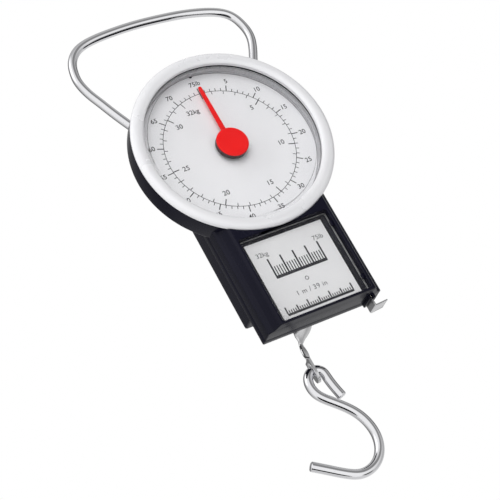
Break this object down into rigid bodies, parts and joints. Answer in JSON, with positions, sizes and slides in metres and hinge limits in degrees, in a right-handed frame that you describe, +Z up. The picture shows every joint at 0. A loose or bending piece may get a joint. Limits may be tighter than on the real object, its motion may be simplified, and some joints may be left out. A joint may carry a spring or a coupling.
{
  "type": "hanging spring scale",
  "caption": "Hanging dial spring scale with a wire bail, an S-hook for the load and a pull-out tape in the case.",
  "frame": {"origin": "underside of the bail's top bar, where the scale is hung from", "axes": "+Z up when hung, -Y out of the dial's face, +X to the right seen from the front"},
  "size_m": [0.0804, 0.0304, 0.2061],
  "materials": {
    "wire_chrome": "polished chrome plate",
    "black_plastic": "glossy moulded black",
    "inner_plastic": "moulded, unpolished",
    "screw_steel": "zinc plated",
    "silver_bezel": "satin silver-white",
    "clear_lens": "clear moulded lens",
    "dial_print": "printed dial",
    "brass": "turned",
    "red_pointer": "bright red",
    "plated_strip": "nickel plated steel strip",
    "spring_steel": "bright drawn wire",
    "label_paper": "printed card",
    "clear_window": "clear moulded window",
    "tape_ribbon": "coated tape"
  },
  "bodies": {
    "bail": {"bail_handle": "wire_chrome"},
    "housing": {"front_housing": "black_plastic", "rear_housing": "black_plastic", "divider_plate": "inner_plastic", "housing_screws": "screw_steel", "dial_bezel": "silver_bezel", "dial_lens": "clear_lens", "dial_plate": "dial_print", "spindle_bushings": "brass", "spring_posts": "plated_strip", "load_spring_left": "spring_steel", "load_spring_right": "spring_steel", "label_card": "label_paper", "label_window": "clear_window", "spool_axle": "plated_strip", "tape_return_spring": "spring_steel", "tape_blade": "tape_ribbon"},
    "drawbar": {"rack_drawbar": "plated_strip", "spring_studs": "plated_strip"},
    "spindle": {"pinion_spindle": "brass", "pointer": "red_pointer"},
    "hook": {"s_hook": "wire_chrome"},
    "reel": {"tape_spool": "inner_plastic", "tape_coil": "tape_ribbon"},
    "tape_end": {"tape_end_piece": "plated_strip"}
  },
  "joints": [
    {"name": "bail_pivot", "type": "hinge", "parent": "bail", "child": "housing", "pos_m": [0, 0, -0.0507], "axis": [1, 0, 0], "range_deg": [-12, 160]},
    {"name": "load_travel", "type": "slide", "parent": "housing", "child": "drawbar", "axis": [0, 0, -1], "range_m": [0, 0.0188], "stiffness_N_per_m": 17700, "deforming": ["load_spring_left", "load_spring_right"]},
    {"name": "pointer_turn", "type": "hinge", "parent": "housing", "child": "spindle", "pos_m": [0, -0.0102, -0.0687], "axis": [0, 1, 0], "range_deg": [0, 360]},
    {"name": "hook_swing", "type": "hinge", "parent": "drawbar", "child": "hook", "pos_m": [-0.0075, 0.0068, -0.15815], "axis": [1, 0, 0], "range_deg": [-90, 90]},
    {"name": "tape_pull", "type": "slide", "parent": "housing", "child": "tape_end", "axis": [0, 0, -1], "range_m": [0, 1], "stiffness_N_per_m": 1.5, "springref_m": -0.4, "deforming": ["tape_blade"]},
    {"name": "reel_spin", "type": "hinge", "parent": "housing", "child": "reel", "pos_m": [0.0036, -0.0067, -0.1263], "axis": [0, 1, 0], "range_deg": [0, 3800]}
  ],
  "couplings": [
    {"joint": "pointer_turn", "follows": "load_travel", "rad_per_m": 333.33},
    {"joint": "reel_spin", "follows": "tape_pull", "rad_per_m": 66}
  ]
}
